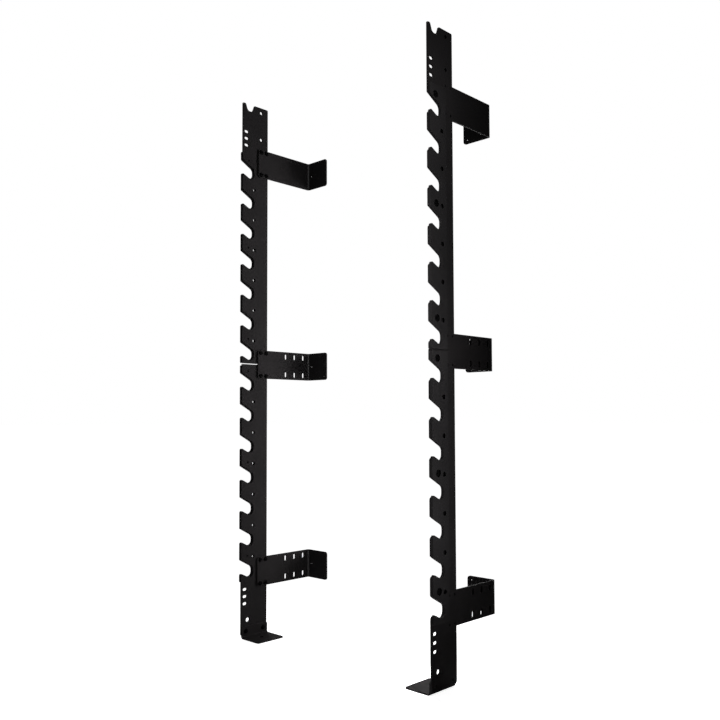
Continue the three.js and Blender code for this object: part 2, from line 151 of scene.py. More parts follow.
class RackSizes(PropertyGroup):
    """Sizes of the hooks, holes and edges."""

    hook_pitch: FloatProperty(
        name="Hook pitch", description="Height from one hook's seat to the next", default=0.115,
        unit="LENGTH")
    slot_depth: FloatProperty(
        name="Slot depth", description="How far a hook slot reaches back from the front edge",
        default=0.056, unit="LENGTH")
    mouth_height: FloatProperty(
        name="Mouth height", description="Top of the slot's mouth above its seat", default=0.0695,
        unit="LENGTH")
    throat_height: FloatProperty(
        name="Throat height", description="Top of the slot's back wall above its seat",
        default=0.0387, unit="LENGTH")
    seat_radius: FloatProperty(
        name="Seat radius", description="Radius of the plate's seat behind the liner's", default=0.019,
        unit="LENGTH")
    lip_angle: FloatProperty(
        name="Lip angle", description="Rise of the hook's lip towards its tip",
        default=math.radians(26.7), unit="ROTATION")
    tip_radius: FloatProperty(
        name="Tip radius", description="Rounding of the hook's tip", default=0.0085, unit="LENGTH")
    liner_proud: FloatProperty(
        name="Liner proud", description="How far the liner stands into the slot beyond the steel",
        default=0.003, unit="LENGTH")
    liner_tip_radius: FloatProperty(
        name="Liner tip radius", description="Rounding of the liner's hook tip", default=0.006,
        unit="LENGTH")
    mouth_radius: FloatProperty(
        name="Mouth corner radius", description="Rounding of the corner above the slot's mouth",
        default=0.004, unit="LENGTH")
    steel_edge: FloatProperty(
        name="Steel edge", description="Rounding left by the powder coat on cut steel edges",
        default=0.0006, unit="LENGTH")
    liner_edge: FloatProperty(
        name="Liner edge", description="Rounding of the liner's cut edges", default=0.0009,
        unit="LENGTH")


class RackFinishes(PropertyGroup):
    """Colours and roughness of the pieces."""

    steel_colour: FloatVectorProperty(
        name="Steel colour", description="Powder coat on plates, brackets and feet",
        default=(0.0148, 0.0137, 0.0141), subtype="COLOR", size=3, min=0, max=1)
    steel_roughness: FloatProperty(
        name="Steel roughness", description="Roughness of the powder coat", default=0.68,
        subtype="FACTOR", min=0, max=1)
    liner_colour: FloatVectorProperty(
        name="Liner colour", description="Black plastic of the liners", default=(0.0172, 0.0162, 0.0167),
        subtype="COLOR", size=3, min=0, max=1)
    liner_roughness: FloatProperty(
        name="Liner roughness", description="Roughness of the liners", default=0.62,
        subtype="FACTOR", min=0, max=1)
    screw_colour: FloatVectorProperty(
        name="Screw colour", description="Black oxide on the screws", default=(0.0014, 0.0013, 0.0014),
        subtype="COLOR", size=3, min=0, max=1)
    floor_colour: FloatVectorProperty(
        name="Floor colour", description="Pale studio floor", default=(0.86, 0.86, 0.86),
        subtype="COLOR", size=3, min=0, max=1)


# Selecting and moving

def select_only(*objects):
    """Leaves edit mode and selects these objects alone, the first one active."""
    if bpy.context.mode != "OBJECT":
        bpy.ops.object.mode_set(mode="OBJECT")
    bpy.ops.object.select_all(action="DESELECT")
    for obj in objects:
        obj.select_set(True)
    if objects:
        bpy.context.view_layer.objects.active = objects[0]


def settle(piece):
    """Puts the piece's place into its mesh, so that its object sits at the origin."""
    select_only(piece)
    bpy.ops.object.transform_apply(location=True, rotation=True, scale=True)


def duplicate(piece, name):
    """A copy of the piece with a mesh of its own."""
    select_only(piece)
    bpy.ops.object.duplicate(linked=False)
    copy = bpy.context.object
    copy.name = name
    copy.data.name = name
    return copy


def remove(piece):
    """Deletes the piece and its mesh."""
    mesh = piece.data
    bpy.data.objects.remove(piece)
    bpy.data.meshes.remove(mesh)


def point(axis, along, u, v):
    """A place from its distance along one axis and its places across the other two, in their order."""
    place = [u, v]
    place.insert(AXES[axis], along)
    return Vector(place)


def select_edges(mesh, wanted):
    """Selects only the edges that the test accepts and returns how many there are."""
    bpy.ops.mesh.select_mode(type="EDGE")
    bpy.ops.mesh.select_all(action="DESELECT")
    found = 0
    for edge in mesh.edges:
        if wanted(edge.verts[0].co, edge.verts[1].co):
            edge.select_set(True)
            found += 1
    mesh.select_flush_mode()
    return found


# Shapes

def rounding(radius, angle):
    """The bevel width and profile that give an arc of this radius in a corner of this angle."""
    width = radius / math.tan(angle / 2)
    profile = (1 - 1 / (2 * (1 + math.sin(angle / 2)))) ** 2
    return width, profile


def round_corners(piece, corners, axis, slot=FACE):
    """Rounds the prism's edges that run along the axis through each corner (u, v, radius)."""
    groups = {}
    count = len(corners)
    for i, (u, v, radius) in enumerate(corners):
        if not radius:
            continue
        here = Vector((u, v))
        before = Vector(corners[i - 1][:2]) - here
        after = Vector(corners[(i + 1) % count][:2]) - here
        groups.setdefault((radius, round(before.angle(after), 4)), []).append(here)
    skip = AXES[axis]
    for (radius, angle), places in groups.items():
        width, profile = rounding(radius, angle)
        select_only(piece)
        bpy.ops.object.mode_set(mode="EDIT")
        mesh = bmesh.from_edit_mesh(piece.data)

        def wanted(a, b):
            flat_a = Vector([a[i] for i in range(3) if i != skip])
            flat_b = Vector([b[i] for i in range(3) if i != skip])
            return (flat_a - flat_b).length < SAME_PLACE and any(
                (flat_a - place).length < NEAR_CORNER for place in places)

        if select_edges(mesh, wanted) != len(places):
            raise RuntimeError(f"{piece.name}: a corner to round was not found")
        steps = math.ceil((math.pi - angle) * radius ** 0.5 / CORNER_STEP)
        bpy.ops.mesh.bevel(
            offset_type="OFFSET", offset=width, segments=max(LEAST_CORNER_SEGMENTS, steps),
            profile=profile, affect="EDGES", clamp_overlap=False, material=slot)
        bpy.ops.object.mode_set(mode="OBJECT")


def round_sheet_corners(piece, through, end_axis, end, radius):
    """Rounds the two corners of a sheet's end, on the edges that run through its thickness."""
    run, stop = AXES[through], AXES[end_axis]
    level = 3 - run - stop
    select_only(piece)
    bpy.ops.object.mode_set(mode="EDIT")
    mesh = bmesh.from_edit_mesh(piece.data)

    def wanted(a, b):
        return (abs(a[stop] - end) < SAME_PLACE and abs(b[stop] - end) < SAME_PLACE
                and abs(a[level] - b[level]) < SAME_PLACE and abs(a[run] - b[run]) > LEAST_EDGE)

    if select_edges(mesh, wanted) != 2:
        raise RuntimeError(f"{piece.name}: the two corners of a sheet's end were not found")
    bpy.ops.mesh.bevel(
        offset_type="OFFSET", offset=radius, segments=SHEET_CORNER_SEGMENTS, profile=0.5,
        affect="EDGES", clamp_overlap=False)
    bpy.ops.object.mode_set(mode="OBJECT")


def give_material_slots(piece):
    """Empty slots for the materials of the faces, the rounded edges, the cut walls with their painted
    shade, and the bends.
    """
    while len(piece.data.materials) < len(FINISH_KINDS):
        piece.data.materials.append(None)


def add_prism(name, corners, axis, start, end, slot=FACE):
    """A straight prism with the given outline, its rounded corners in the given material slot."""
    select_only()
    bpy.ops.mesh.primitive_circle_add(
        vertices=len(corners), radius=OVERRUN, fill_type="NGON", enter_editmode=True)
    piece = bpy.context.object
    piece.name = name
    piece.data.name = name
    mesh = bmesh.from_edit_mesh(piece.data)
    mesh.verts.ensure_lookup_table()
    for vertex, (u, v, _) in zip(mesh.verts, corners):
        vertex.co = point(axis, start, u, v)
    bmesh.update_edit_mesh(piece.data)
    bpy.ops.mesh.select_all(action="SELECT")
    bpy.ops.mesh.extrude_region_move(
        TRANSFORM_OT_translate={"value": point(axis, end - start, 0, 0)})
    bpy.ops.mesh.select_all(action="SELECT")
    bpy.ops.mesh.normals_make_consistent(inside=False)
    bpy.ops.object.mode_set(mode="OBJECT")
    give_material_slots(piece)
    round_corners(piece, corners, axis, slot)
    return piece


def add_bore(axis, centre, radius, length):
    """A round cutter along the axis, with its middle at the centre."""
    turns = {"x": (0, math.pi / 2, 0), "y": (math.pi / 2, 0, 0), "z": (0, 0, 0)}
    select_only()
    bpy.ops.mesh.primitive_cylinder_add(
        vertices=ROUND_SIDES, radius=radius, depth=length, location=centre,
        rotation=turns[axis])
    cutter = bpy.context.object
    settle(cutter)
    return cutter


def add_obround(axis, start, end, u, v, length_u, length_v):
    """A cutter for a slot with full round ends, of these full lengths across the axis."""
    radius = ROUND_END_SHARE * min(length_u, length_v)
    corners = [
        (u + su * length_u / 2, v + sv * length_v / 2, radius)
        for su, sv in ((-1, -1), (1, -1), (1, 1), (-1, 1))
    ]
    return add_prism("cutter", corners, axis, start, end)


def cut(piece, cutters):
    """Takes the cutters away from the piece, all at once, and gives the cut walls their material,
    darkened as painted shade.
    """
    give_material_slots(piece)
    select_only(*cutters)
    if len(cutters) > 1:
        bpy.ops.object.join()
    cutter = cutters[0]
    give_material_slots(cutter)
    # Cut walls take the slot whose colour is darkened as painted shade
    for face in cutter.data.polygons:
        face.material_index = SHADED_CUT
    select_only(piece)
    modifier = piece.modifiers.new("Cut", "BOOLEAN")
    modifier.operation = "DIFFERENCE"
    modifier.solver = "EXACT"
    modifier.object = cutter
    bpy.ops.object.modifier_apply(modifier=modifier.name)
    remove(cutter)


def finish_edges(piece, width, segments=2):
    """Rounds every sharp edge, in the edges' material, and keeps the flat faces' normals flat."""
    give_material_slots(piece)
    select_only(piece)
    bevel = piece.modifiers.new("Edges", "BEVEL")
    bevel.material = EDGE
    bevel.width = width
    bevel.segments = segments
    bevel.limit_method = "ANGLE"
    bevel.angle_limit = SHARP_ANGLE
    bevel.use_clamp_overlap = True
    bpy.ops.object.modifier_apply(modifier=bevel.name)
    bpy.ops.object.shade_smooth()
    weighted = piece.modifiers.new("Normals", "WEIGHTED_NORMAL")
    weighted.weight = 100
    weighted.keep_sharp = True
    bpy.ops.object.modifier_apply(modifier=weighted.name)


def hand_over(piece, node, materials):
    """Lets a finished piece stand for its CAD node."""
    for index, material in enumerate(materials):
        piece.data.materials[index] = material
    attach(piece, "root")
    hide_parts(node)


# Places read from the frame

def limits(node):
    """The node's lowest and highest corners."""
    low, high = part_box(node)
    return Vector(low), Vector(high)


def face_span(node, side):
    """The node's inner and outer places along X, as seen from the middle of the rack."""
    low, high = limits(node)
    return (low.x, high.x) if side > 0 else (high.x, low.x)


def sheet_thickness(name):
    """The thickness of the upright's sheet steel, read from its upper plate."""
    low, high = limits(f"{name}_upper_plate")
    return abs(high.x - low.x)


def reach_to_joint(name, half, kind):
    """The limits of a plate or liner, with its end at the joint brought nearer to the other half."""
    low, high = limits(f"{name}_{half}_{kind}")
    reach = JOINT_REACH[name][kind]
    if half == "upper":
        low.z -= reach
    else:
        high.z += reach
    return low, high


def seat_heights(name, half, sizes):
    """Seat heights of a plate's hooks, from the top one down."""
    liner_low = limits(f"{name}_lower_liner")[0].z
    last = liner_low + LINER_BELOW_LAST_SEAT
    first = last + (2 * HOOKS_PER_PLATE - 1) * sizes.hook_pitch
    skip = 0 if half == "upper" else HOOKS_PER_PLATE
    return [first - (skip + i) * sizes.hook_pitch for i in range(HOOKS_PER_PLATE)]


# Plates and liners

def hook_slot_corners(front, seat, sizes, proud, tip):
    """The four corners of one hook slot, from its mouth down to the tip of its lip."""
    lip = sizes.lip_angle
    slant = (sizes.mouth_height - sizes.throat_height) / sizes.slot_depth
    depth = sizes.slot_depth - proud
    radius = sizes.seat_radius - proud
    mouth = seat + sizes.mouth_height - proud
    seat_start = depth - radius - radius * math.sin(lip)

    def lip_height(inset):
        return seat + proud + radius * (1 - math.cos(lip)) + (seat_start - inset) * math.tan(lip)

    return [
        (front, mouth, sizes.mouth_radius),
        (front + depth, mouth - depth * slant, THROAT_RADIUS),
        (front + depth, lip_height(depth), radius),
        (front, lip_height(0), tip),
    ]


def hook_slots(front, seats, sizes, proud, tip):
    """The outline's corners along all the hooks, from the top one down."""
    return [
        corner for seat in seats
        for corner in hook_slot_corners(front, seat, sizes, proud, tip)
    ]


def hook_bores(kind, front, seats, sizes, start, end):
    """Cutters for the hole in each hook's block, but for the lowest hook of the plate."""
    throat = front + sizes.slot_depth
    return [
        add_bore("x", ((start + end) / 2, throat, seat - HOOK_HOLE["below_seat"][kind]),
                 HOOK_HOLE["radius"][kind], abs(end - start))
        for seat in seats[:-1]
    ]


def screw_places(name, *kinds):
    """Centres (y, z) of the screws whose node names start so."""
    places = []
    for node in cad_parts:
        if any(node.startswith(f"{name}_{kind}_screw") for kind in kinds):
            low, high = limits(node)
            places.append(((low.y + high.y) / 2, (low.z + high.z) / 2))
    return places


def plate_corners(half, low, high, seats, sizes):
    """A plate's outline: the upper one has the cradle in its top, the lower one the heel."""
    front, back = low.y, high.y
    hooks = hook_slots(front, seats, sizes, 0, sizes.tip_radius)
    if half == "lower":
        return [
            (back, high.z, PLATE_CORNER),
            (front, high.z, PLATE_CORNER),
            *hooks,
            (front, low.z, PLATE_CORNER),
            (back, low.z, HEEL_CORNER),
        ]
    cradle_front = front + CRADLE["front"]
    cradle_back = cradle_front + CRADLE["width"]
    bottom = high.z - CRADLE["drop"]
    return [
        (back, high.z, PLATE_CORNER),
        (cradle_back, high.z, CRADLE["edge"]),
        (cradle_back - CRADLE["lean"], bottom, CRADLE["radius"]),
        (cradle_front + CRADLE["lean"], bottom, CRADLE["radius"]),
        (cradle_front, high.z, CRADLE["edge"]),
        (front, high.z, CRADLE["edge"]),
        *hooks,
        (front, low.z, PLATE_CORNER),
        (back, low.z, PLATE_CORNER),
    ]


def row_slots(half, front, seats, start, end):
    """Cutters for the small slots at the front of a plate, beyond its outermost hook."""
    middle = (seats[0] + ROW_SLOT["above_first_seat"] if half == "upper"
              else seats[-1] - ROW_SLOT["below_last_seat"])
    heights = [
        middle + (i - (ROW_SLOT["count"] - 1) / 2) * ROW_SLOT["pitch"]
        for i in range(ROW_SLOT["count"])
    ]
    return [
        add_obround("x", start, end, front + ROW_SLOT["inset"], height, ROW_SLOT["length"],
                    ROW_SLOT["height"])
        for height in heights
    ]


def plate_holes(half, low, high):
    """The plain round holes of a plate, as places (y, z) and a radius."""
    if half == "lower":
        return [((low.y + HEEL_HOLE["inset"], HEEL_HOLE["height"]), HEEL_HOLE["radius"])]
    y = high.y - BACK_HOLE["inset"]
    drops = (BACK_HOLE["below_top"], BACK_HOLE["below_top"] + BACK_HOLE["spacing"])
    return [((y, high.z - drop), BACK_HOLE["radius"]) for drop in drops]


def build_plate(name, side, half, sizes):
    """A flat steel plate with seven hooks and its holes."""
    node = f"{name}_{half}_plate"
    inner, outer = face_span(node, side)
    low, high = reach_to_joint(name, half, "plate")
    seats = seat_heights(name, half, sizes)
    corners = plate_corners(half, low, high, seats, sizes)
    piece = add_prism(f"{node}_skin", corners, "x", inner, outer)
    start, end = inner - side * OVERRUN, outer + side * OVERRUN
    middle, length = (inner + outer) / 2, abs(end - start)
    kinds = [f"{level}_bracket" for level in LEVELS] + [f"{half}_liner", "foot"]
    cutters = hook_bores("plate", low.y, seats, sizes, start, end)
    cutters += row_slots(half, low.y, seats, start, end)
    for (y, z), radius in plate_holes(half, low, high):
        cutters.append(add_bore("x", (middle, y, z), radius, length))
    for y, z in screw_places(name, *kinds):
        if low.z < z < high.z:
            cutters.append(add_bore("x", (middle, y, z), THREAD_RADIUS, length))
    cut(piece, cutters)
    finish_edges(piece, sizes.steel_edge)
    return piece


def build_liner(name, side, half, sizes):
    """A plastic sheet with the plate's hooks, standing proud of them, and sunk screw holes."""
    node = f"{name}_{half}_liner"
    inner, outer = face_span(node, side)
    low, high = reach_to_joint(name, half, "liner")
    seats = seat_heights(name, half, sizes)
    corners = [
        (high.y, high.z, LINER_BACK_CORNER),
        (low.y, high.z, PLATE_CORNER),
        *hook_slots(low.y, seats, sizes, sizes.liner_proud, sizes.liner_tip_radius),
        (low.y, low.z, PLATE_CORNER),
        (high.y, low.z, LINER_BACK_CORNER),
    ]
    piece = add_prism(f"{node}_skin", corners, "x", inner, outer)
    start, end = inner - side * OVERRUN, outer + side * OVERRUN
    middle = (inner + outer) / 2
    places = screw_places(name, f"{half}_liner")
    cutters = hook_bores("liner", low.y, seats, sizes, start, end)
    for y, z in places:
        cutters.append(add_bore("x", (middle, y, z), CLEARANCE_RADIUS, abs(end - start)))
    cut(piece, cutters)
    bottom = outer - side * COUNTERBORE["depth"]
    cut(piece, [
        add_bore("x", ((bottom + end) / 2, y, z), COUNTERBORE["radius"], abs(end - bottom))
        for y, z in places
    ])
    finish_edges(piece, sizes.liner_edge)
    return piece


# Brackets and feet

def angle_corners(outer, inner, leg_end, heel, thickness, bend):
    """The outline of a sheet bent once, from the end of its leg round its heel and back."""
    inside = outer + math.copysign(thickness, inner - outer)
    above_heel = heel + math.copysign(thickness, leg_end - heel)
    return [
        (outer, leg_end, 0),
        (outer, heel, bend + thickness),
        (inner, heel, 0),
        (inner, above_heel, 0),
        (inside, above_heel, bend),
        (inside, leg_end, 0),
    ]


def arm_holes(name, level, middle, half_height, wall):
    """The plain hole of an upper bracket's arm, or the slots of the others, as places (y, z)."""
    if level == "upper":
        return [(limits(f"{name}_upper_plate")[1].y + BRACKET["plain_reach"], middle)]
    rise = half_height - BRACKET["slot_edge"]
    return [
        (wall - BRACKET["slot_before_wall"] - column * BRACKET["slot_pitch"], middle + row * rise)
        for column in range(BRACKET["slot_columns"]) for row in (-1, 1)
    ]


def build_bracket(name, side, level, sizes):
    """An angle bent once, with its arm along Y on the plate and its flange on the wall."""
    node = f"{name}_{level}_bracket"
    low, high = limits(node)
    inner, outer = face_span(node, side)
    thickness = sheet_thickness(name)
    wall, arm_front = high.y, low.y
    corners = angle_corners(outer, inner, arm_front, wall, thickness, BRACKET["bend"])
    piece = add_prism(f"{node}_skin", corners, "z", low.z, high.z, BEND)
    round_sheet_corners(piece, "x", "y", arm_front, BRACKET["corner"])
    round_sheet_corners(piece, "y", "x", inner, BRACKET["corner"])
    middle, half_height = (low.z + high.z) / 2, (high.z - low.z) / 2
    start, end = outer + side * OVERRUN, outer - side * (thickness + OVERRUN)
    arm_middle, arm_length = (start + end) / 2, abs(end - start)
    cutters = [
        add_bore("x", (arm_middle, y, z), CLEARANCE_RADIUS, arm_length)
        for y, z in screw_places(name, f"{level}_bracket")
    ]
    for y, z in arm_holes(name, level, middle, half_height, wall):
        if level == "upper":
            cutters.append(add_bore("x", (arm_middle, y, z), BRACKET["plain_hole"], arm_length))
        else:
            cutters.append(add_obround("x", start, end, y, z, BRACKET["slot_width"],
                                       BRACKET["slot_length"]))
    outer_height = middle + OUTER_HOLE_SIDE[name][level] * (half_height - BRACKET["outer_edge"])
    flange_holes = (
        (outer - side * BRACKET["inner_reach"], middle, BRACKET["inner_hole"]),
        (inner + side * BRACKET["outer_end"], outer_height, BRACKET["outer_hole"]),
    )
    for x, z, radius in flange_holes:
        place = (x, wall - thickness / 2, z)
        cutters.append(add_bore("y", place, radius, thickness + OVERRUN))
    cut(piece, cutters)
    finish_edges(piece, sizes.steel_edge)
    return piece


def build_foot(name, side, sizes):
    """An angle bent once, with its upright leg on the plate and its sole on the floor."""
    node = f"{name}_foot"
    low, high = limits(node)
    inner, outer = face_span(node, side)
    thickness = sheet_thickness(name)
    corners = angle_corners(outer, inner, high.z, low.z, thickness, FOOT["bend"])
    piece = add_prism(f"{node}_skin", corners, "y", low.y, high.y)
    round_sheet_corners(piece, "z", "x", inner, FOOT["corner"])
    round_sheet_corners(piece, "x", "z", high.z, FOOT["corner"])
    cutters = [
        add_bore("x", (outer - side * thickness / 2, y, z), CLEARANCE_RADIUS, thickness + OVERRUN)
        for y, z in screw_places(name, "foot")
    ]
    place = (outer - side * FOOT["hole_reach"], (low.y + high.y) / 2, low.z + thickness / 2)
    cutters.append(add_bore("z", place, FOOT["hole"], thickness + OVERRUN))
    cut(piece, cutters)
    finish_edges(piece, sizes.steel_edge)
    return piece


# Screws and plugs

def start_disc(name, radius, height):
    """A flat disc in edit mode, facing up, from which a round piece is extruded."""
    select_only()
    bpy.ops.mesh.primitive_circle_add(
        vertices=ROUND_SIDES, radius=radius, fill_type="NGON", enter_editmode=True,
        location=(0, 0, height))
    disc = bpy.context.object
    disc.name = name
    return disc


def grow(rise, scale):
    """Extrudes the selected face upwards and scales it."""
    bpy.ops.mesh.extrude_region_move(TRANSFORM_OT_translate={"value": (0, 0, rise)})
    bpy.ops.transform.resize(value=(scale, scale, 1))


def close_round_piece(piece):
    """Merges the doubles, turns the faces outwards and leaves edit mode."""
    bpy.ops.mesh.select_all(action="SELECT")
    bpy.ops.mesh.remove_doubles(threshold=SAME_PLACE)
    bpy.ops.mesh.normals_make_consistent(inside=False)
    bpy.ops.object.mode_set(mode="OBJECT")
    settle(piece)


def lay_along_x(piece):
    """Turns a piece that was made upright, so that its top faces +X."""
    piece.rotation_euler = (0, math.pi / 2, 0)
    settle(piece)


def dome_steps(head_radius, head_height):
    """The rises and radii of the button head's rounded top, from its rim up."""
    angle, count = SCREW["dome_angle"], SCREW["dome_steps"]
    for i in range(1, count + 1):
        turn = angle * i / count
        before = math.sin(angle * (i - 1) / count)
        rise = head_height * (1 - SCREW["rim_share"]) * (math.sin(turn) - before) / math.sin(angle)
        inward = SCREW["top_share"] * (1 - math.cos(turn)) / (1 - math.cos(angle))
        yield rise, head_radius * (1 - inward)


def build_screw(name, shank_length, head_height, head_radius):
    """A button-head screw along X: its head's underside at x = 0 and its head towards +X."""
    shank = SCREW["shank"]
    point_radius, point_length = shank * SCREW["point_share"], shank * SCREW["point_length_share"]
    screw = start_disc(name, point_radius, -shank_length)
    outline = [
        (point_length, shank),
        (shank_length - point_length, shank),
        (0, head_radius),
        (head_height * SCREW["rim_share"], head_radius),
        *dome_steps(head_radius, head_height),
    ]
    radius = point_radius
    for rise, next_radius in outline:
        grow(rise, next_radius / radius)
        radius = next_radius
    close_round_piece(screw)
    select_only()
    bpy.ops.mesh.primitive_cylinder_add(
        vertices=SCREW["socket_sides"], radius=SCREW["socket"],
        depth=head_height * SCREW["socket_share"], location=(0, 0, head_height))
    socket = bpy.context.object
    settle(socket)
    cut(screw, [socket])
    lay_along_x(screw)
    finish_edges(screw, SCREW["edge"], 1)
    return screw


def build_screw_pattern(node, head):
    """A screw as long as this node's, to be copied to every screw of its kind."""
    low, high = limits(node)
    shank_length = high.x - low.x - head["box_height"] - SCREW["shank_play"]
    return build_screw("screw_pattern", shank_length, head["height"], head["radius"])


def place_screw(pattern, node, kind):
    """A copy at the node's place: liner screws point inwards, the others outwards."""
    low, high = limits(node)
    box_height = SCREW_HEADS[kind]["box_height"]
    screw = duplicate(pattern, f"{node}_skin")
    head_towards_right = (low.x > 0) == (kind == "liner")
    if not head_towards_right:
        screw.rotation_euler = (0, 0, math.pi)
    seat = high.x - box_height if head_towards_right else low.x + box_height
    screw.location = (seat, (low.y + high.y) / 2, (low.z + high.z) / 2)
    settle(screw)
    return screw


def build_plug(name):
    """A round plug along X: its head's underside at x = 0, its head towards -X."""
    plug = start_disc(name, PLUG["head"] * PLUG["rim_share"], -PLUG["head_height"])
    for rise, scale in (
            (PLUG["rim"], 1 / PLUG["rim_share"]),
            (PLUG["head_height"] - PLUG["rim"], 1),
            (0, PLUG["body"] / PLUG["head"]),
            (PLUG["body_length"] - PLUG["end"], 1),
            (PLUG["end"], PLUG["end_share"])):
        grow(rise, scale)
    bpy.ops.mesh.inset(thickness=PLUG["wall"])
    bpy.ops.transform.translate(value=(0, 0, -PLUG["hollow"]))
    close_round_piece(plug)
    lay_along_x(plug)
    finish_edges(plug, PLUG["edge"], 1)
    return plug


# Materials

def new_material(name):
    """A material with its node tree, its shader and its texture coordinates."""
    material = bpy.data.materials.new(name)
    material.use_nodes = True
    tree = material.node_tree
    tree.nodes.clear()
    output = tree.nodes.new("ShaderNodeOutputMaterial")
    shader = tree.nodes.new("ShaderNodeBsdfPrincipled")
    tree.links.new(shader.outputs["BSDF"], output.inputs["Surface"])
    coordinates = tree.nodes.new("ShaderNodeTexCoord")
    return material, tree, shader, coordinates


def add_noise(tree, place, scale, detail):
    """A noise factor at a place; the scale is in features per metre."""
    noise = tree.nodes.new("ShaderNodeTexNoise")
    noise.inputs["Scale"].default_value = scale
    noise.inputs["Detail"].default_value = detail
    tree.links.new(place, noise.inputs["Vector"])
    return noise.outputs["Fac"]


def add_ramp(tree, factor, low, high):
    """Turns a factor into a colour between two others."""
    ramp = tree.nodes.new("ShaderNodeValToRGB")
    ramp.color_ramp.elements[0].position = RAMP_START
    ramp.color_ramp.elements[0].color = (*low, 1)
    ramp.color_ramp.elements[1].position = RAMP_END
    ramp.color_ramp.elements[1].color = (*high, 1)
    tree.links.new(factor, ramp.inputs["Fac"])
    return ramp.outputs["Color"]


def add_range(tree, factor, low, high):
    """Turns a factor into a number between two others."""
    span = tree.nodes.new("ShaderNodeMapRange")
    span.inputs["From Min"].default_value = NOISE_LOW
    span.inputs["From Max"].default_value = NOISE_HIGH
    span.inputs["To Min"].default_value = low
    span.inputs["To Max"].default_value = high
    tree.links.new(factor, span.inputs["Value"])
    return span.outputs["Result"]


def add_bump(tree, shader, height, strength, distance, below=None):
    """Relief from a height, on top of the relief below it where there is one."""
    bump = tree.nodes.new("ShaderNodeBump")
    bump.inputs["Strength"].default_value = strength
    bump.inputs["Distance"].default_value = distance
    tree.links.new(height, bump.inputs["Height"])
    if below is not None:
        tree.links.new(below, bump.inputs["Normal"])
    tree.links.new(bump.outputs["Normal"], shader.inputs["Normal"])
    return bump.outputs["Normal"]


def scaled(colour, factor):
    """The colour, darker or lighter by the factor."""
    return tuple(channel * factor for channel in colour)


def powder_coat(finishes, name, gloss, smoothing, shading):
    """Satin black powder coat: fine orange peel and faint patches."""
    material, tree, shader, coordinates = new_material(name)
    place = coordinates.outputs["Object"]
    # The shading factor darkens the colour, as painted shade on cut walls
    colour = scaled(finishes.steel_colour, shading)
    patches = add_noise(tree, place, scale=9, detail=3)
    tree.links.new(add_ramp(tree, patches, scaled(colour, 0.88), scaled(colour, 1.12)),
                   shader.inputs["Base Color"])
    rough = finishes.steel_roughness - smoothing
    wear = add_noise(tree, place, scale=60, detail=4)
    tree.links.new(add_range(tree, wear, rough - 0.06, rough + 0.06), shader.inputs["Roughness"])
    peel = add_bump(tree, shader, add_noise(tree, place, scale=900, detail=2),
                    strength=0.25, distance=0.00012)
    add_bump(tree, shader, add_noise(tree, place, scale=3200, detail=1),
             strength=0.2, distance=0.00004, below=peel)
    shader.inputs["Specular IOR Level"].default_value = gloss
    return material


def liner_plastic(finishes, name, gloss, smoothing, shading):
    """Black cut sheet plastic with a fine grain."""
    material, tree, shader, coordinates = new_material(name)
    place = coordinates.outputs["Object"]
    # The shading factor darkens the colour, as painted shade on cut walls and counterbores
    colour = scaled(finishes.liner_colour, shading)
    patches = add_noise(tree, place, scale=14, detail=3)
    tree.links.new(add_ramp(tree, patches, scaled(colour, 0.9), scaled(colour, 1.15)),
                   shader.inputs["Base Color"])
    rough = finishes.liner_roughness - smoothing
    wear = add_noise(tree, place, scale=120, detail=3)
    tree.links.new(add_range(tree, wear, rough - 0.05, rough + 0.05), shader.inputs["Roughness"])
    grain = tree.nodes.new("ShaderNodeTexVoronoi")
    grain.inputs["Scale"].default_value = 1400
    tree.links.new(place, grain.inputs["Vector"])
    fine = add_bump(tree, shader, grain.outputs["Distance"], strength=0.18, distance=0.00008)
    add_bump(tree, shader, add_noise(tree, place, scale=500, detail=3),
             strength=0.15, distance=0.0001, below=fine)
    shader.inputs["Specular IOR Level"].default_value = gloss
    return material


def screw_steel(finishes, name, gloss, smoothing, shading):
    """Black oxide on steel, a little brighter where it is handled."""
    material, tree, shader, coordinates = new_material(name)
    place = coordinates.outputs["Object"]
    # The shading factor darkens the colour, as painted shade on the socket's cut walls
    colour = scaled(finishes.screw_colour, shading)
    worn = add_noise(tree, place, scale=220, detail=4)
    tree.links.new(add_ramp(tree, worn, scaled(colour, 0.8), scaled(colour, 1.5)),
                   shader.inputs["Base Color"])
    handled = add_noise(tree, place, scale=400, detail=3)
    tree.links.new(add_range(tree, handled, 0.4 - smoothing, 0.5), shader.inputs["Roughness"])
    shader.inputs["Specular IOR Level"].default_value = gloss
    add_bump(tree, shader, add_noise(tree, place, scale=1800, detail=2),
             strength=0.15, distance=0.00004)
    return material


def shared_materials(name, make):
    """A finish and its kinds for rounded edges, cut walls darkened as painted shade, and bends, each
    made only once.
    """
    finishes = bpy.context.scene.rack_finishes
    return [
        bpy.data.materials.get(name + ending) or make(finishes, name + ending, **values)
        for ending, values in FINISH_KINDS.items()
    ]


# Operators

class RACK_OT_plates(Operator):
    """Build the two toothed hook plates of each upright"""

    bl_idname = "rack.plates"
    bl_label = "Hook Plates"

    def execute(self, context):
        sizes = context.scene.rack_sizes
        materials = shared_materials("powder_coat", powder_coat)
        for name, side in SIDES.items():
            for half in HALVES:
                piece = build_plate(name, side, half, sizes)
                hand_over(piece, f"{name}_{half}_plate", materials)
        return {"FINISHED"}


class RACK_OT_liners(Operator):
    """Build the toothed plastic liners on the plates' outer faces"""

    bl_idname = "rack.liners"
    bl_label = "Liners"

    def execute(self, context):
        sizes = context.scene.rack_sizes
        materials = shared_materials("liner_plastic", liner_plastic)
        for name, side in SIDES.items():
            for half in HALVES:
                piece = build_liner(name, side, half, sizes)
                hand_over(piece, f"{name}_{half}_liner", materials)
        return {"FINISHED"}


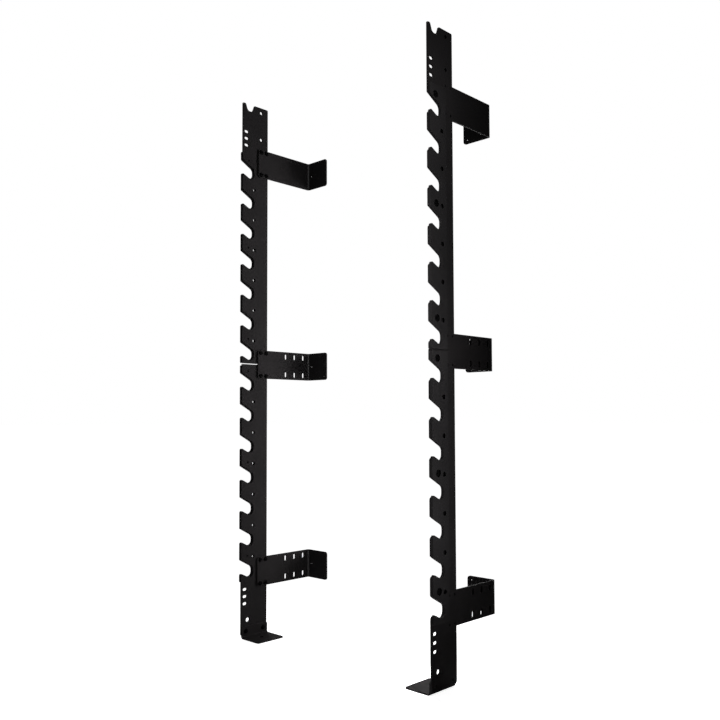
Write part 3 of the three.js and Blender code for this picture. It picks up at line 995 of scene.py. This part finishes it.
class RACK_OT_brackets(Operator):
    """Build the angle brackets that hold the uprights off the wall"""

    bl_idname = "rack.brackets"
    bl_label = "Wall Brackets"

    def execute(self, context):
        sizes = context.scene.rack_sizes
        materials = shared_materials("powder_coat", powder_coat)
        for name, side in SIDES.items():
            for level in LEVELS:
                piece = build_bracket(name, side, level, sizes)
                hand_over(piece, f"{name}_{level}_bracket", materials)
        return {"FINISHED"}


class RACK_OT_feet(Operator):
    """Build the angle feet under the uprights"""

    bl_idname = "rack.feet"
    bl_label = "Feet"

    def execute(self, context):
        sizes = context.scene.rack_sizes
        materials = shared_materials("powder_coat", powder_coat)
        for name, side in SIDES.items():
            hand_over(build_foot(name, side, sizes), f"{name}_foot", materials)
        return {"FINISHED"}


class RACK_OT_screws(Operator):
    """Build one screw of each kind and copy it to every place"""

    bl_idname = "rack.screws"
    bl_label = "Screws"

    def execute(self, context):
        materials = shared_materials("screw_black_oxide", screw_steel)
        patterns = {}
        for node in sorted(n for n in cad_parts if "_screw_" in n):
            kind = "liner" if "_liner_" in node else "bracket"
            if kind not in patterns:
                patterns[kind] = build_screw_pattern(node, SCREW_HEADS[kind])
            screw = place_screw(patterns[kind], node, kind)
            hand_over(screw, node, materials)
        for pattern in patterns.values():
            remove(pattern)
        return {"FINISHED"}


class RACK_OT_plugs(Operator):
    """Build the plugs in the right upright's back holes"""

    bl_idname = "rack.plugs"
    bl_label = "Hole Plugs"

    def execute(self, context):
        materials = shared_materials("screw_black_oxide", screw_steel)
        pattern = build_plug("plug_pattern")
        for node in sorted(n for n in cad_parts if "_hole_plug_" in n):
            low, high = limits(node)
            plug = duplicate(pattern, f"{node}_skin")
            seat = low.x + PLUG["head_height"]
            plug.location = (seat, (low.y + high.y) / 2, (low.z + high.z) / 2)
            settle(plug)
            hand_over(plug, node, materials)
        remove(pattern)
        return {"FINISHED"}


class RACK_OT_stage(Operator):
    """Set up the floor, the lamps and the camera"""

    bl_idname = "rack.stage"
    bl_label = "Stage"

    def execute(self, context):
        add_floor(context.scene.rack_finishes)
        add_lamps()
        add_world()
        add_camera()
        context.scene.view_settings.view_transform = "Standard"
        return {"FINISHED"}


# Stage

def shown_rays(tree):
    """A factor of 1 for rays that show the background: from the camera, off gloss or through glass."""
    path = tree.nodes.new("ShaderNodeLightPath")
    shown = path.outputs["Is Camera Ray"]
    for name in ("Is Glossy Ray", "Is Transmission Ray"):
        either = tree.nodes.new("ShaderNodeMath")
        either.operation = "MAXIMUM"
        tree.links.new(shown, either.inputs[0])
        tree.links.new(path.outputs[name], either.inputs[1])
        shown = either.outputs[0]
    return shown


def add_floor(finishes):
    """A pale floor that looks white outside the rack's soft shadow."""
    select_only()
    bpy.ops.mesh.primitive_plane_add(size=FLOOR["size"], location=(0, 0, 0))
    floor = bpy.context.object
    floor.name = "studio_floor"
    material, tree, shader, coordinates = new_material("studio_floor")
    shader.inputs["Base Color"].default_value = (*finishes.floor_colour, 1)
    shader.inputs["Roughness"].default_value = 1
    shader.inputs["Specular IOR Level"].default_value = 0
    distance = tree.nodes.new("ShaderNodeVectorMath")
    distance.operation = "LENGTH"
    tree.links.new(coordinates.outputs["Object"], distance.inputs[0])
    spread = tree.nodes.new("ShaderNodeMapRange")
    spread.inputs["From Min"].default_value = FLOOR["near"]
    spread.inputs["From Max"].default_value = FLOOR["far"]
    spread.inputs["To Min"].default_value = FLOOR["near_glow"]
    spread.inputs["To Max"].default_value = FLOOR["far_glow"]
    tree.links.new(distance.outputs["Value"], spread.inputs["Value"])
    glow = tree.nodes.new("ShaderNodeMath")
    glow.operation = "MULTIPLY"
    tree.links.new(shown_rays(tree), glow.inputs[0])
    tree.links.new(spread.outputs["Result"], glow.inputs[1])
    shader.inputs["Emission Color"].default_value = (1, 1, 1, 1)
    tree.links.new(glow.outputs[0], shader.inputs["Emission Strength"])
    floor.data.materials.append(material)


def add_lamp(name, place, target, width, height, power, spread):
    """A soft rectangular lamp at a place, turned to its target."""
    light = bpy.data.lights.new(name, "AREA")
    light.shape = "RECTANGLE"
    light.size = width
    light.size_y = height
    light.energy = power
    light.spread = math.radians(spread)
    lamp = bpy.data.objects.new(name, light)
    bpy.context.scene.collection.objects.link(lamp)
    lamp.location = place
    lamp.rotation_euler = (Vector(target) - Vector(place)).to_track_quat("-Z", "Y").to_euler()
    lamp.visible_camera = False


def add_lamps():
    """Soft strips beside the uprights, one small lamp on the foot and a soft one above."""
    for lamp in LAMPS:
        add_lamp(*lamp)


def add_world():
    """White where it is seen, and dimmer where it only lights the rack."""
    world = bpy.data.worlds.new("studio_world")
    bpy.context.scene.world = world
    world.use_nodes = True
    tree = world.node_tree
    tree.nodes.clear()
    output = tree.nodes.new("ShaderNodeOutputWorld")
    mix = tree.nodes.new("ShaderNodeMixShader")
    tree.links.new(shown_rays(tree), mix.inputs["Fac"])
    for socket, strength in ((1, AMBIENT), (2, 1)):
        background = tree.nodes.new("ShaderNodeBackground")
        background.inputs["Strength"].default_value = strength
        background.inputs["Color"].default_value = (1, 1, 1, 1)
        tree.links.new(background.outputs["Background"], mix.inputs[socket])
    tree.links.new(mix.outputs["Shader"], output.inputs["Surface"])


def add_camera():
    """The camera at the photograph's viewing angle."""
    camera = bpy.data.cameras.new("camera")
    camera.sensor_width = CAMERA["sensor"]
    camera.lens = CAMERA["lens"]
    camera.shift_x, camera.shift_y = CAMERA["shift"]
    camera.clip_end = CAMERA["clip_end"]
    holder = bpy.data.objects.new("camera", camera)
    bpy.context.scene.collection.objects.link(holder)
    azimuth, elevation, roll = (
        math.radians(CAMERA[angle]) for angle in ("azimuth", "elevation", "roll"))
    turn = (Matrix.Rotation(azimuth, 4, "Z") @ Matrix.Rotation(math.pi / 2 + elevation, 4, "X")
            @ Matrix.Rotation(roll, 4, "Z"))
    holder.matrix_world = Matrix.Translation(CAMERA["place"]) @ turn
    bpy.context.scene.camera = holder


class RACK_PT_panel(Panel):
    """Lists the steps that build the rack"""

    bl_label = "Barbell Rack"
    bl_idname = "RACK_PT_panel"
    bl_space_type = "VIEW_3D"
    bl_region_type = "UI"
    bl_category = "Barbell Rack"

    def draw(self, context):
        for operator in OPERATORS:
            self.layout.operator(operator.bl_idname)


OPERATORS = (RACK_OT_plates, RACK_OT_liners, RACK_OT_brackets, RACK_OT_feet, RACK_OT_screws,
             RACK_OT_plugs, RACK_OT_stage)
CLASSES = (RackSizes, RackFinishes, *OPERATORS, RACK_PT_panel)


def register():
    for cls in CLASSES:
        bpy.utils.register_class(cls)
    bpy.types.Scene.rack_sizes = PointerProperty(type=RackSizes)
    bpy.types.Scene.rack_finishes = PointerProperty(type=RackFinishes)


def unregister():
    del bpy.types.Scene.rack_finishes
    del bpy.types.Scene.rack_sizes
    for cls in reversed(CLASSES):
        bpy.utils.unregister_class(cls)


def main():
    register()
    bpy.ops.rack.stage()
    bpy.ops.rack.plates()
    bpy.ops.rack.liners()
    bpy.ops.rack.brackets()
    bpy.ops.rack.feet()
    bpy.ops.rack.screws()
    bpy.ops.rack.plugs()


if __name__ == "__main__":
    main()
